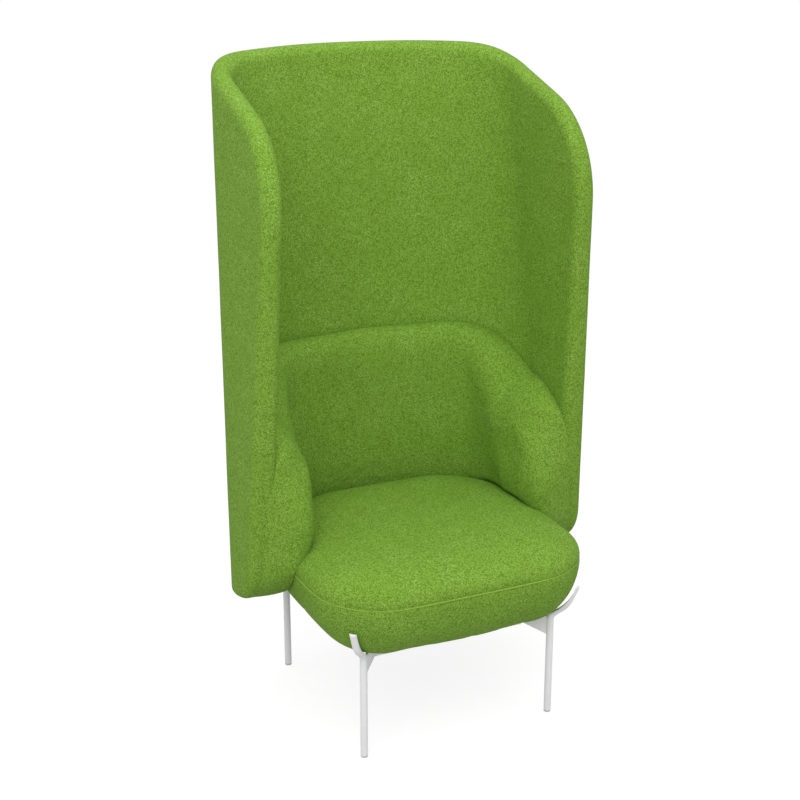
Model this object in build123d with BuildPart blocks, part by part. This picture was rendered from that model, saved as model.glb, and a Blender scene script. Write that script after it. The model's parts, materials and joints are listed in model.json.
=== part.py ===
from build123d import *
import os
from math import asin, atan2, cos, pi, radians, sin, sqrt

# High-backed lounge chair: a wrap-round acoustic screen, a padded tub of back and arms,
# a crowned seat cushion and a slender tube frame. Millimetres, +Z up, the sitter faces -Y,
# so the sitter's left is +X. The origin is on the floor, in the middle of the chair's box.

os.makedirs("parts", exist_ok=True)

# ---- driving dimensions: frame ----

leg_spacing = 450            # between leg centres, both ways
leg_middle_y = -35           # middle of the four legs
leg_radius = 8
leg_wall = 2
leg_straight_top = 226       # above it the front legs bend out round the cushion
leg_tip_bends = [(0, 240), (36, 270), (56, 318)]     # outwards from the leg's axis, and height
leg_tip_radii = (25, 60)
glide_height = 5
glide_stem_top = 20
rail_reach = 50              # from each leg inwards to the rails, both ways
rail_bottom = 205
rail_thickness = 6
tab_size = 44                # welded tabs that carry the seat board
tab_thickness = 4
fit_gap = 0.3                # room round a bolt and between a rigid and a soft piece

# ---- driving dimensions: seat ----

seam_height = 372            # where the cushion is widest
seat_half_width = 316
seat_front_y = -351
seat_rear_y = 198
seat_bulge = 9               # bow of each side between its corners
seat_front_corner = 145
seat_rear_corner = 195
least_corner = 40
rear_share = 0.3             # the cushion's rear is steeper than its other sides
seat_bottom = 236
seat_crown = 446
crown_reach = 270            # from the seam inwards to the middle of the crown
crown_power = 2.6
underside_reach = 100        # from the seam inwards to the flat underside
cover_thickness = 3
board_thickness = 16
board_inset = 102
cover_opening_inset = 130    # the lower cover is stapled under the board, open in the middle
piping_radius = 2

# ---- driving dimensions: screen ----

mid_height = 900             # the wall's plan is stated at this height
wall_thickness = 45
wall_half_width = 386
wall_taper = 0.042           # half width lost for each millimetre of height
wall_corner_radius = 209
wall_corner_taper = 0.094
wall_back_y = 287.7
wall_back_lean = 0.056
wall_bow_radius = 740
wall_low, wall_high = 180, 1480      # heights between which the plan is lofted
wall_front_y = -260                  # ahead of the rim, where the side view trims it
rim_radius = 20
rim_padding = 12                     # from the rim to the layers inside
outer_padding = (5, 18)              # each layer's two faces, measured in from the outer face
screen_board = (18, 27)
inner_padding = (27, 40)

# Side view of the screen: behind, under bend, low front, high front, top bend, behind.
wall_side = [(446, 250), (141, 250), (-77, 317.5), (-151.8, 1286.9), (258, 1425.6), (446, 1443)]
wall_side_radii = [300, 107, 207, 300]

# ---- driving dimensions: tub ----

tub_back = 45.5              # outer face of the tub, measured in from the screen's outer face
tub_board = (48.5, 57.5)
tub_window_margin = 20       # the tub's cover is stapled to the back of its board, open in the middle
tub_plan_height = 600        # the tub's sections stand on the screen's plan at this height
tub_depth = 30               # how far the sections reach out past that plan, to be trimmed
tub_lowest = 230
tub_rim_inset = 10           # the tub's front and lower edges lie this far inside the screen's

# Along each arm from the nose: y, thickness, crest height and height of the rounded shoulder.
arm_stations = [(-101, 30, 520, 48), (-95, 52, 570, 62), (-82, 68, 615, 75)]
arm_stations += [(-57, 76, 657, 75), (-4, 88, 682, 75), (41, 95, 700, 75)]
# Round the corner and to the middle of the back: share of the corner's turn, then the same.
corner_stations = [(0.5, 92, 735, 75), (1, 52, 768, 75)]
middle_station = (55, 787, 75)
fullest_share = 0.4          # where the pads are fullest, between the tuck and the shoulder
arm_tuck, back_tuck = -6, 3  # change of thickness from there down to the seat
tuck_height = 410

# Side view of the tub's board: behind, back crest, arm crest, nose, low front, under, behind.
tub_board_side = [(446, 735), (196, 735), (56, 660), (-24, 625), (-64, 560)]
tub_board_side += [(-64, 345), (146, 285), (446, 285)]
tub_board_radii = [120, 200, 60, 50, 40, 100]

# ---- driving dimensions: brackets and fasteners ----

bracket_width = 40
bracket_thickness = 5
side_bracket_y = -10
rear_bracket_x = 80
bracket_foot = 70            # length on the seat board
bracket_reach = 190          # from the end of the foot to the tub's board
bracket_level = 345          # height at which a bracket crosses from the seat to the tub
bracket_top = 410
shell_bolt_heights = (367, 395)
shell_bolt_radius = 3
shell_bolt_head_radius, shell_bolt_head_height = 5.5, 3.3
shell_nut_radius = 4
shell_nut_flange_radius, shell_nut_flange_height = 9, 1.3
wall_lean_gap = 0.8          # room that the wall's lean takes from a fastener square to it
screw_radius, screw_head_height, screw_length = 2.3, 2, 16
seat_bolt_radius = 4
bolt_head_radius, bolt_head_height = 7.2, 5.3
insert_radius = 5
insert_flange_radius, insert_flange_height = 11, 1.5


# ---- screen ----

def wall_plan(height, inset):
    """Corner centre, corner radius, bow centre and bow radius of the screen's plan."""
    rise = height - mid_height
    radius = wall_corner_radius - wall_corner_taper * rise
    corner_x = wall_half_width - wall_taper * rise - radius
    corner_y = wall_back_y + wall_back_lean * rise - radius
    bow_y = corner_y - sqrt((wall_bow_radius - radius) ** 2 - corner_x ** 2)
    return corner_x, corner_y, radius - inset, bow_y, wall_bow_radius - inset


def wall_run(height, inset, front_y):
    """One face of the screen as a smooth curve, from its left front to its right front."""
    corner_x, corner_y, radius, bow_y, bow_radius = wall_plan(height, inset)
    turn = atan2(corner_y - bow_y, corner_x)
    side_x = corner_x + radius
    left = [(side_x, front_y), (side_x, front_y / 2), (side_x, corner_y)]
    for share in (0.25, 0.5, 0.75, 1):
        left.append((corner_x + radius * cos(share * turn), corner_y + radius * sin(share * turn)))
    bow_turn = (turn + pi / 2) / 2
    left.append((bow_radius * cos(bow_turn), bow_y + bow_radius * sin(bow_turn)))
    right = [(-x, y) for x, y in reversed(left)]
    Spline(*left, (0, bow_y + bow_radius), *right, tangents=[(0, 1), (0, -1)])
    return left[0], right[-1]


def wall_band(outer_inset, inner_inset):
    """Upright band between two faces of the screen, before its rim is trimmed."""
    with BuildPart() as band:
        for height in (wall_low, wall_high):
            with BuildSketch(Plane.XY.offset(height)):
                with BuildLine():
                    outer_start, outer_end = wall_run(height, outer_inset, wall_front_y)
                    inner_start, inner_end = wall_run(height, inner_inset, wall_front_y)
                    Line(outer_start, inner_start)
                    Line(outer_end, inner_end)
                make_face()
        loft(ruled=True)
    return band.part


def wall_inside(inset):
    """Everything within one face of the screen."""
    with BuildPart() as inside:
        for height in (wall_low, wall_high):
            with BuildSketch(Plane.XY.offset(height)):
                with BuildLine():
                    start, end = wall_run(height, inset, wall_front_y)
                    ahead = 2 * wall_front_y
                    Polyline(start, (start[0], ahead), (end[0], ahead), end)
                make_face()
        loft(ruled=True)
    return inside.part


def side_prism(points, radii, inset):
    """Prism along X with a rounded side view, which trims the screen and the tub."""
    with BuildPart() as prism:
        with BuildSketch(Plane.YZ):
            with BuildLine():
                FilletPolyline(*points, radius=radii)
                Line(points[-1], points[0])
            make_face()
            if inset > 0:
                offset(amount=-inset, kind=Kind.INTERSECTION, mode=Mode.REPLACE)
        extrude(amount=500, both=True)
    return prism.part


def rim_edges(part):
    """Edges where the trimmed rim meets the two faces of the screen."""
    walls = part.faces().filter_by(GeomType.BSPLINE)
    trims = part.faces().filter_by(GeomType.BSPLINE, reverse=True)
    chosen = []
    for edge in part.edges():
        middle = edge @ 0.5
        on_wall = [face for face in walls if face.distance_to(middle) < 0.001]
        on_trim = [face for face in trims if face.distance_to(middle) < 0.001]
        if len(on_wall) == 1 and len(on_trim) == 1:
            chosen.append(edge)
    return chosen


def screen_layer(faces, holes=None):
    """One of the bent layers inside the screen's cover, with the room for its fasteners."""
    with BuildPart() as layer:
        add(wall_band(*faces))
        if holes is not None:
            add(holes, mode=Mode.SUBTRACT)
        add(side_prism(wall_side, wall_side_radii, rim_padding), mode=Mode.INTERSECT)
    return layer.part


# ---- seat ----

def seat_section(height, skin, depth):
    """Plan of the cushion at a height, its sides bowed, its rear drawn in less than the rest."""
    half = seat_half_width - skin - depth
    front = seat_front_y + skin + depth
    rear = seat_rear_y - skin - rear_share * depth
    middle = (front + rear) / 2
    front_left = (half - seat_bulge, front + seat_bulge)
    rear_left = (half - seat_bulge, rear - seat_bulge)
    front_right = (-front_left[0], front_left[1])
    rear_right = (-rear_left[0], rear_left[1])
    with BuildSketch(Plane.XY.offset(height)) as section:
        with BuildLine():
            ThreePointArc(front_right, (0, front), front_left)
            ThreePointArc(front_left, (half, middle), rear_left)
            ThreePointArc(rear_left, (0, rear), rear_right)
            ThreePointArc(rear_right, (-half, middle), front_right)
        make_face()
        front_corners = section.vertices().group_by(Axis.Y)[0]
        fillet(front_corners, max(least_corner, seat_front_corner - skin - depth))
        rear_corners = section.vertices().sort_by(Axis.Y)[-2:]
        fillet(rear_corners, max(least_corner, seat_rear_corner - skin - 0.7 * depth))
    return section.sketch


def seat_form(skin):
    """The whole cushion, drawn in all round by the thickness of a skin."""
    with BuildPart() as lower:
        for turn in (0, 30, 60, 90):
            drop = (seam_height - seat_bottom - skin) * sin(radians(turn))
            depth = (underside_reach - skin) * (1 - cos(radians(turn)))
            add(seat_section(seam_height - drop, skin, depth))
        loft()
    with BuildPart() as whole:
        rise = seat_crown - seam_height - skin
        for share in (0, 0.02, 0.08, 0.2, 0.42, 0.7, 0.92):
            lift = rise * (1 - (1 - share) ** crown_power) ** (1 / crown_power)
            add(seat_section(seam_height + lift, skin, share * (crown_reach - skin)))
        loft()
        add(lower.part)
    return whole.part


# ---- tub ----

def tub_stations():
    """Stations from the left nose round to the middle: place, outward normal, then sizes."""
    corner_x, corner_y, radius, bow_y, bow_radius = wall_plan(tub_plan_height, tub_back)
    turn = atan2(corner_y - bow_y, corner_x)
    stations = []
    for y, thickness, crest, shoulder in arm_stations:
        stations.append(((corner_x + radius, y), (1, 0), thickness, crest, shoulder, arm_tuck))
    for share, thickness, crest, shoulder in corner_stations:
        normal = (cos(share * turn), sin(share * turn))
        place = (corner_x + radius * normal[0], corner_y + radius * normal[1])
        tuck = arm_tuck + share * (back_tuck - arm_tuck)
        stations.append((place, normal, thickness, crest, shoulder, tuck))
    thickness, crest, shoulder = middle_station
    stations.append(((0, bow_y + bow_radius), (0, 1), thickness, crest, shoulder, back_tuck))
    for place, normal, *sizes in reversed(stations[:-1]):
        stations.append(((-place[0], place[1]), (-normal[0], normal[1]), *sizes))
    return stations


def tub_section(place, normal, thickness, crest, shoulder, tuck, skin):
    """Upright section of the tub across the screen, from its crest down to its lower edge."""
    plane = Plane(origin=(*place, 0), x_dir=(-normal[0], -normal[1], 0), z_dir=(-normal[1], normal[0], 0))
    depth = thickness - skin
    top = crest - skin
    fullest = tuck_height + fullest_share * (top - shoulder - tuck_height)
    inner_face = [
        (-tub_depth, top + 2),
        (-0.2 * depth, top),
        (0.6 * depth, top - 0.24 * shoulder),
        (depth, top - shoulder),
        (depth + 2, fullest),
        (depth + tuck, tuck_height),
        (depth + tuck - 10, (tuck_height + tub_lowest) / 2),
        (depth + tuck - 24, tub_lowest),
    ]
    with BuildSketch(plane) as section:
        with BuildLine():
            Spline(*inner_face)
            Polyline(inner_face[-1], (-tub_depth, tub_lowest), inner_face[0])
        make_face()
    return section.sketch


def tub_form(skin):
    """The whole tub, drawn in all round by the thickness of a skin."""
    with BuildPart() as tub:
        for station in tub_stations():
            add(tub_section(*station, skin))
        loft()
        add(wall_inside(tub_back + skin), mode=Mode.INTERSECT)
        add(side_prism(wall_side, wall_side_radii, tub_rim_inset + skin), mode=Mode.INTERSECT)
        add(seat_form(-cover_thickness - skin), mode=Mode.SUBTRACT)
    return tub.part


# ---- brackets and bolts between the seat, the tub and the screen ----

def bracket_places(height, inset):
    """Point on a face of the screen and outward normal for each of the four brackets."""
    corner_x, corner_y, radius, bow_y, bow_radius = wall_plan(height, inset)
    rear_turn = asin(rear_bracket_x / wall_bow_radius)
    places = []
    for side in (1, -1):
        places.append(((side * (corner_x + radius), side_bracket_y), (side, 0)))
        normal = (side * sin(rear_turn), cos(rear_turn))
        places.append(((normal[0] * bow_radius, bow_y + normal[1] * bow_radius), normal))
    return places


def shell_rods(radius, start, end):
    """Eight rods through the shell, between two distances in from the screen's outer face."""
    with BuildPart() as group:
        for height in shell_bolt_heights:
            for (x, y), (normal_x, normal_y) in bracket_places(height, start):
                plane = Plane(origin=(x, y, height), z_dir=(normal_x, normal_y, 0))
                with BuildSketch(plane):
                    Circle(radius)
                extrude(amount=start - end)
    return group.part


def bracket_bar(place, normal):
    """Flat bar bent in a plane: along the seat board, up through the foam, up the tub's board."""
    origin = (place[0] - normal[0] * bracket_reach, place[1] - normal[1] * bracket_reach, 0)
    plane = Plane(origin=origin, x_dir=(*normal, 0), z_dir=(normal[1], -normal[0], 0))
    level = board_top + bracket_thickness / 2
    flange = bracket_reach + 1 - bracket_thickness / 2
    with BuildPart() as bar:
        with BuildSketch(plane):
            with BuildLine():
                FilletPolyline(
                    (0, level),
                    (bracket_foot, level),
                    (bracket_reach - 45, bracket_level),
                    (flange, bracket_level),
                    (flange, bracket_top),
                    radius=(12, 12, 6),
                )
            trace(line_width=bracket_thickness)
        extrude(amount=bracket_width / 2, both=True)
    return bar.part


rail_top = seat_bottom
board_bottom = seat_bottom + cover_thickness
board_top = board_bottom + board_thickness
half_spacing = leg_spacing / 2
rail_place = half_spacing - rail_reach
rail_inner = rail_place - rail_thickness / 2
tab_place = rail_inner - tab_size / 2
corners = {"rear_left": (1, 1), "rear_right": (-1, 1), "front_left": (1, -1), "front_right": (-1, -1)}
seat_bolt_places = [(x * tab_place, leg_middle_y + y * tab_place) for x, y in corners.values()]

cushion = seat_form(0)
cushion_room = seat_form(-fit_gap)


# ---- frame ----

# Legs: tubes closed at the top; each front one goes on as a tip that hugs the cushion's corner.
for corner, (side, end) in corners.items():
    leg_x = side * half_spacing
    leg_y = leg_middle_y + end * half_spacing
    with BuildPart() as leg:
        with BuildSketch(Plane.XY.offset(glide_height)):
            with Locations((leg_x, leg_y)):
                Circle(leg_radius)
        extrude(amount=(leg_straight_top if end < 0 else rail_top) - glide_height)
        with BuildSketch(Plane.XY.offset(glide_height)):
            with Locations((leg_x, leg_y)):
                Circle(leg_radius - leg_wall)
        extrude(amount=rail_bottom - glide_height, mode=Mode.SUBTRACT)
        if end < 0:
            outward = Plane(origin=(leg_x, leg_y, 0), x_dir=(side, end, 0), z_dir=(end, -side, 0))
            with BuildLine(outward) as tip_path:
                FilletPolyline((0, leg_straight_top), *leg_tip_bends, radius=leg_tip_radii)
            with BuildSketch(Plane.XY.offset(leg_straight_top)):
                with Locations((leg_x, leg_y)):
                    Circle(leg_radius)
            sweep(path=tip_path.wires()[0])
            add(cushion_room, mode=Mode.SUBTRACT)
        else:
            chamfer(leg.faces().sort_by(Axis.Z)[-1].edges(), 1)
    leg.part.label = corner + "_leg"
    export_step(leg.part, "parts/" + leg.part.label + ".step")

    with BuildPart() as glide:
        with BuildSketch():
            with Locations((leg_x, leg_y)):
                Circle(leg_radius - 0.2)
        extrude(amount=glide_height)
        chamfer(glide.faces().sort_by(Axis.Z)[0].edges(), 1)
        with BuildSketch(Plane.XY.offset(glide_height)):
            with Locations((leg_x, leg_y)):
                Circle(leg_radius - leg_wall - 0.1)
        extrude(amount=glide_stem_top - glide_height)
    glide.part.label = corner + "_glide"
    export_step(glide.part, "parts/" + glide.part.label + ".step")

    # Gusset: a plate on edge from the leg to the corner of the rails, cut up towards the rails.
    gusset_length = sqrt(2) * (rail_reach - rail_thickness / 2)
    with BuildPart() as gusset:
        inward = Plane(origin=(leg_x, leg_y, 0), x_dir=(-side, -end, 0), z_dir=(-end, side, 0))
        with BuildSketch(inward):
            with BuildLine():
                Polyline(
                    (0, rail_top),
                    (gusset_length, rail_top),
                    (gusset_length, rail_bottom + 8),
                    (leg_radius, rail_bottom - 12),
                    (0, rail_bottom - 12),
                    close=True,
                )
            make_face()
        extrude(amount=rail_thickness / 2, both=True)
        with BuildSketch(Plane.XY):
            with Locations((leg_x, leg_y)):
                Circle(leg_radius)
        extrude(amount=rail_top, mode=Mode.SUBTRACT)
        with BuildSketch(Plane.XY.offset(rail_bottom)):
            with Locations((0, leg_middle_y)):
                Rectangle(2 * rail_place + rail_thickness, 2 * rail_place + rail_thickness)
        extrude(amount=rail_top, mode=Mode.SUBTRACT)
    gusset.part.label = corner + "_gusset"
    export_step(gusset.part, "parts/" + gusset.part.label + ".step")

    with BuildPart() as tab:
        with BuildSketch(Plane.XY.offset(rail_top - tab_thickness)):
            with Locations((side * tab_place, leg_middle_y + end * tab_place)):
                Rectangle(tab_size, tab_size)
                Circle(seat_bolt_radius, mode=Mode.SUBTRACT)
        extrude(amount=tab_thickness)
        uprights = tab.edges().filter_by(Axis.Z).sort_by_distance((0, leg_middle_y, rail_top))
        chamfer(uprights[0], 14)
    tab.part.label = corner + "_seat_tab"
    export_step(tab.part, "parts/" + tab.part.label + ".step")


def rail(name, middle, length, along_x):
    """Flat bar on edge, welded into the frame with its ends square."""
    with BuildPart() as bar:
        with BuildSketch(Plane.XY.offset(rail_bottom)):
            with Locations(middle):
                if along_x:
                    Rectangle(length, rail_thickness)
                else:
                    Rectangle(rail_thickness, length)
        extrude(amount=rail_top - rail_bottom)
        chamfer(bar.edges().filter_by(Axis.X if along_x else Axis.Y), 1)
    bar.part.label = name
    export_step(bar.part, "parts/" + name + ".step")


rail("front_rail", (0, leg_middle_y - rail_place), 2 * rail_inner, True)
rail("rear_rail", (0, leg_middle_y + rail_place), 2 * rail_inner, True)
rail("left_rail", (rail_place, leg_middle_y), 2 * rail_place + rail_thickness, False)
rail("right_rail", (-rail_place, leg_middle_y), 2 * rail_place + rail_thickness, False)


# ---- fasteners of the seat ----

with BuildPart() as seat_bolts:
    with BuildSketch(Plane.XY.offset(rail_top - tab_thickness)):
        with Locations(*seat_bolt_places):
            RegularPolygon(bolt_head_radius, 6)
    extrude(amount=-bolt_head_height)
    with BuildSketch(Plane.XY.offset(rail_top - tab_thickness)):
        with Locations(*seat_bolt_places):
            Circle(seat_bolt_radius)
    extrude(amount=tab_thickness + cover_thickness + board_thickness)
seat_bolts.part.label = "seat_bolts"
export_step(seat_bolts.part, "parts/seat_bolts.step")

with BuildPart() as seat_inserts:
    with BuildSketch(Plane.XY.offset(board_top)):
        with Locations(*seat_bolt_places):
            Circle(insert_flange_radius)
    extrude(amount=insert_flange_height)
    with BuildSketch(Plane.XY.offset(board_top)):
        with Locations(*seat_bolt_places):
            Circle(insert_radius)
            Circle(seat_bolt_radius, mode=Mode.SUBTRACT)
    extrude(amount=-board_thickness)
seat_inserts.part.label = "seat_threaded_inserts"
export_step(seat_inserts.part, "parts/seat_threaded_inserts.step")


# ---- brackets from the seat board to the tub and the screen ----

shell_bolts_room = shell_rods(shell_bolt_radius, tub_board[1] + 12, screen_board[0] + 2)
tub_board_inner = wall_inside(tub_board[1])
mean_bolt_height = sum(shell_bolt_heights) / len(shell_bolt_heights)
flange_inset = tub_board[1] + bracket_thickness + wall_lean_gap
head_inset = flange_inset + shell_bolt_head_height
bracket_names = ("left_bracket", "rear_left_bracket", "right_bracket", "rear_right_bracket")
screw_places = []
bracket_bars = []
brackets = []
for name, (place, normal) in zip(bracket_names, bracket_places(mean_bolt_height, tub_board[1])):
    for distance in (bracket_reach - 15, bracket_reach - 45):
        screw_places.append((place[0] - normal[0] * distance, place[1] - normal[1] * distance))
    bracket_bars.append(bracket_bar(place, normal))
    with BuildPart() as bracket:
        add(bracket_bars[-1])
        add(tub_board_inner, mode=Mode.INTERSECT)
        add(shell_bolts_room, mode=Mode.SUBTRACT)
        with BuildSketch(Plane.XY.offset(board_top)):
            with Locations(*screw_places[-2:]):
                Circle(screw_radius)
        extrude(amount=bracket_thickness, mode=Mode.SUBTRACT)
    bracket.part.label = name
    export_step(bracket.part, "parts/" + name + ".step")
    brackets.append(bracket.part)

with BuildPart() as bracket_screws:
    with BuildSketch(Plane.XY.offset(board_top + bracket_thickness)):
        with Locations(*screw_places):
            Circle(2 * screw_radius)
    extrude(amount=screw_head_height, taper=30)
    with BuildSketch(Plane.XY.offset(board_top + bracket_thickness)):
        with Locations(*screw_places):
            Circle(screw_radius)
    extrude(amount=-screw_length)
bracket_screws.part.label = "bracket_screws"
export_step(bracket_screws.part, "parts/bracket_screws.step")

with BuildPart() as shell_bolts:
    add(shell_rods(shell_bolt_head_radius, head_inset, flange_inset))
    add(shell_rods(shell_bolt_radius, flange_inset, screen_board[0] + 2))
shell_bolts.part.label = "shell_bolts"
export_step(shell_bolts.part, "parts/shell_bolts.step")

nut_outside = screen_board[0] - shell_nut_flange_height
with BuildPart() as shell_nuts:
    add(shell_rods(shell_nut_flange_radius, screen_board[0], nut_outside))
    add(shell_rods(shell_nut_radius, screen_board[1] - 2 * wall_lean_gap, screen_board[0]))
    add(shell_bolts_room, mode=Mode.SUBTRACT)
shell_nuts.part.label = "shell_threaded_inserts"
export_step(shell_nuts.part, "parts/shell_threaded_inserts.step")

with BuildPart() as nut_room:
    recess_bottom = screen_board[0] + wall_lean_gap
    add(shell_rods(shell_nut_flange_radius, recess_bottom, nut_outside - wall_lean_gap))
    add(shell_rods(shell_nut_radius, screen_board[1] + 5, recess_bottom))


# ---- seat pieces ----

seat_inner = seat_form(cover_thickness)

with BuildPart() as base_board:
    add(seat_section(board_bottom, cover_thickness, board_inset))
    extrude(amount=board_thickness)
    with BuildSketch(Plane.XY.offset(board_bottom)):
        with Locations(*seat_bolt_places):
            Circle(insert_radius)
    extrude(amount=board_thickness, mode=Mode.SUBTRACT)
    add(bracket_screws.part, mode=Mode.SUBTRACT)
base_board.part.label = "seat_base_board"
export_step(base_board.part, "parts/seat_base_board.step")

with BuildPart() as dust_cover:
    add(seat_section(seat_bottom, 0, cover_opening_inset))
    extrude(amount=cover_thickness)
    with BuildSketch(Plane.XY.offset(seat_bottom)):
        with Locations(*seat_bolt_places):
            Circle(seat_bolt_radius)
    extrude(amount=cover_thickness, mode=Mode.SUBTRACT)
dust_cover.part.label = "seat_dust_cover"
export_step(dust_cover.part, "parts/seat_dust_cover.step")

with BuildPart() as seat_foam:
    add(seat_inner)
    add(seat_section(seat_bottom, cover_thickness, board_inset))
    extrude(amount=cover_thickness + board_thickness, mode=Mode.SUBTRACT)
    add(seat_inserts.part, mode=Mode.SUBTRACT)
    add(seat_bolts.part, mode=Mode.SUBTRACT)
    add(bracket_screws.part, mode=Mode.SUBTRACT)
    for bar in bracket_bars:
        add(bar, mode=Mode.SUBTRACT)
seat_foam.part.label = "seat_foam"
export_step(seat_foam.part, "parts/seat_foam.step")

with BuildPart() as piping:
    seam = seat_section(seam_height, 0, 0).wires()[0]
    with BuildSketch(Plane(origin=seam @ 0, z_dir=seam % 0)):
        Circle(piping_radius)
    sweep(path=seam)
piping.part.label = "seat_piping"
export_step(piping.part, "parts/seat_piping.step")

with BuildPart() as upper_cover:
    add(cushion)
    add(seat_inner, mode=Mode.SUBTRACT)
    split(bisect_by=Plane.XY.offset(seam_height), keep=Keep.TOP)
    add(piping.part, mode=Mode.SUBTRACT)
upper_cover.part.label = "seat_upper_cover"
export_step(upper_cover.part, "parts/seat_upper_cover.step")

with BuildPart() as lower_cover:
    add(cushion)
    add(seat_inner, mode=Mode.SUBTRACT)
    split(bisect_by=Plane.XY.offset(seam_height), keep=Keep.BOTTOM)
    add(piping.part, mode=Mode.SUBTRACT)
    add(seat_section(seat_bottom, 0, cover_opening_inset))
    extrude(amount=cover_thickness, mode=Mode.SUBTRACT)
    for bar in bracket_bars:
        add(bar, mode=Mode.SUBTRACT)
lower_cover.part.label = "seat_lower_cover"
export_step(lower_cover.part, "parts/seat_lower_cover.step")


# ---- tub pieces ----

tub_inner = tub_form(cover_thickness)

with BuildPart() as tub_carrier:
    add(wall_band(*tub_board))
    add(shell_bolts_room, mode=Mode.SUBTRACT)
    add(side_prism(tub_board_side, tub_board_radii, 0), mode=Mode.INTERSECT)
tub_carrier.part.label = "tub_board"
export_step(tub_carrier.part, "parts/tub_board.step")

with BuildPart() as tub_board_room:
    add(wall_band(tub_back - 5, tub_board[1]))
    add(side_prism(tub_board_side, tub_board_radii, 0), mode=Mode.INTERSECT)
with BuildPart() as tub_foam:
    add(tub_inner)
    add(tub_board_room.part, mode=Mode.SUBTRACT)
    add(shell_rods(shell_bolt_head_radius, head_inset, flange_inset - 2), mode=Mode.SUBTRACT)
    for bar in bracket_bars:
        add(bar, mode=Mode.SUBTRACT)
tub_foam.part.label = "tub_foam"
export_step(tub_foam.part, "parts/tub_foam.step")

with BuildPart() as tub_window:
    add(wall_band(tub_back - 5, tub_board[0] + 2))
    add(side_prism(tub_board_side, tub_board_radii, tub_window_margin), mode=Mode.INTERSECT)
with BuildPart() as tub_cover:
    add(tub_form(0))
    add(tub_inner, mode=Mode.SUBTRACT)
    add(tub_window.part, mode=Mode.SUBTRACT)
    for bar in bracket_bars:
        add(bar, mode=Mode.SUBTRACT)
tub_cover.part.label = "tub_cover"
export_step(tub_cover.part, "parts/tub_cover.step")


# ---- screen pieces ----

screen_layers = {
    "screen_outer_padding": (outer_padding, nut_room.part),
    "screen_core_board": (screen_board, nut_room.part),
    "screen_inner_padding": (inner_padding, shell_bolts_room),
}
for name, (faces, holes) in screen_layers.items():
    with BuildPart() as layer:
        add(screen_layer(faces, holes))
    layer.part.label = name
    export_step(layer.part, "parts/" + name + ".step")

with BuildPart() as screen_cover:
    add(wall_band(0, wall_thickness))
    add(side_prism(wall_side, wall_side_radii, 0), mode=Mode.INTERSECT)
    fillet(rim_edges(screen_cover.part), rim_radius)
    add(screen_layer((outer_padding[0], inner_padding[1])), mode=Mode.SUBTRACT)
    add(shell_bolts_room, mode=Mode.SUBTRACT)
screen_cover.part.label = "screen_cover"
export_step(screen_cover.part, "parts/screen_cover.step")
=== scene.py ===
import bisect
import bmesh
import bpy
import json
import math
from mathutils import Matrix, Vector, kdtree, noise
from mathutils.bvhtree import BVHTree


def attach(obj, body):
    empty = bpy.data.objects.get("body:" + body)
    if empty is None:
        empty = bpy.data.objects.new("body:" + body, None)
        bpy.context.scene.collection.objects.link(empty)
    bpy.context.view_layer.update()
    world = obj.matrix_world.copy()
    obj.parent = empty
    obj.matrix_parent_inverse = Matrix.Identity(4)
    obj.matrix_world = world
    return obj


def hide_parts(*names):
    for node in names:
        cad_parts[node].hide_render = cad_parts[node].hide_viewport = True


# Metres. The sitter faces -Y, the sitter's left is +X, the floor is at Z = 0.

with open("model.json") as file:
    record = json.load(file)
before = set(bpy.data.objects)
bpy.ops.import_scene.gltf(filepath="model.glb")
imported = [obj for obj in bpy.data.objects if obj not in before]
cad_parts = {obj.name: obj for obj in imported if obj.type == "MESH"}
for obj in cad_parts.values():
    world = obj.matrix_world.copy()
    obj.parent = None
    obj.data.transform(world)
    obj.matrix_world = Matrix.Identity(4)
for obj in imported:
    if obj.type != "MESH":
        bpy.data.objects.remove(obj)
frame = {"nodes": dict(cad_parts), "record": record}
noise.seed_set(7)  # without it the noise starts from the clock
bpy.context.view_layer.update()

# camera, background and lights

camera = {
    "place": (-1.3573, -2.8627, 1.7596),
    "pitch": 71.373,
    "yaw": -25.050,
    "lens": 68.475,
    "sensor": 36,
    "reach": 100,
}
floorLook = {"size": 14.0, "colour": (0.5, 0.5, 0.5), "roughness": 0.9, "glow": 0.8, "shadow": 0.3}
lamps = {
    "key": {"place": (-2.2, -2.8, 3.0), "aim": (0, 0, 0.7), "size": 2.4, "power": 58},
    "fill": {"place": (2.6, -2.6, 2.2), "aim": (0, 0, 0.7), "size": 3.0, "power": 8},
    "top": {"place": (0, -0.6, 3.6), "aim": (0, 0, 0.5), "size": 3.5, "power": 45},
}
ambient = 0.68  # strength of the even light from all round


def newMaterial(name):
    material = bpy.data.materials.new(name)
    material.use_nodes = True
    return material, material.node_tree.nodes, material.node_tree.links


def makeCamera():
    data = bpy.data.cameras.new("photoCamera")
    data.lens = camera["lens"]
    data.sensor_width = camera["sensor"]
    data.clip_end = camera["reach"]
    taker = bpy.data.objects.new("photoCamera", data)
    bpy.context.scene.collection.objects.link(taker)
    taker.location = camera["place"]
    taker.rotation_euler = (math.radians(camera["pitch"]), 0, math.radians(camera["yaw"]))
    bpy.context.scene.camera = taker


def whiteSeenBy(nodes, links, lit, shown, output):
    # camera, glossy and see-through rays find plain white, all others find the lit shader
    path = nodes.new("ShaderNodeLightPath")
    seen = path.outputs["Is Camera Ray"]
    for ray in ("Is Glossy Ray", "Is Transmission Ray"):
        either = nodes.new("ShaderNodeMath")
        either.operation = "MAXIMUM"
        links.new(seen, either.inputs[0])
        links.new(path.outputs[ray], either.inputs[1])
        seen = either.outputs[0]
    blend = nodes.new("ShaderNodeMixShader")
    links.new(seen, blend.inputs[0])
    links.new(lit, blend.inputs[1])
    links.new(shown, blend.inputs[2])
    links.new(blend.outputs[0], output)


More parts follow.
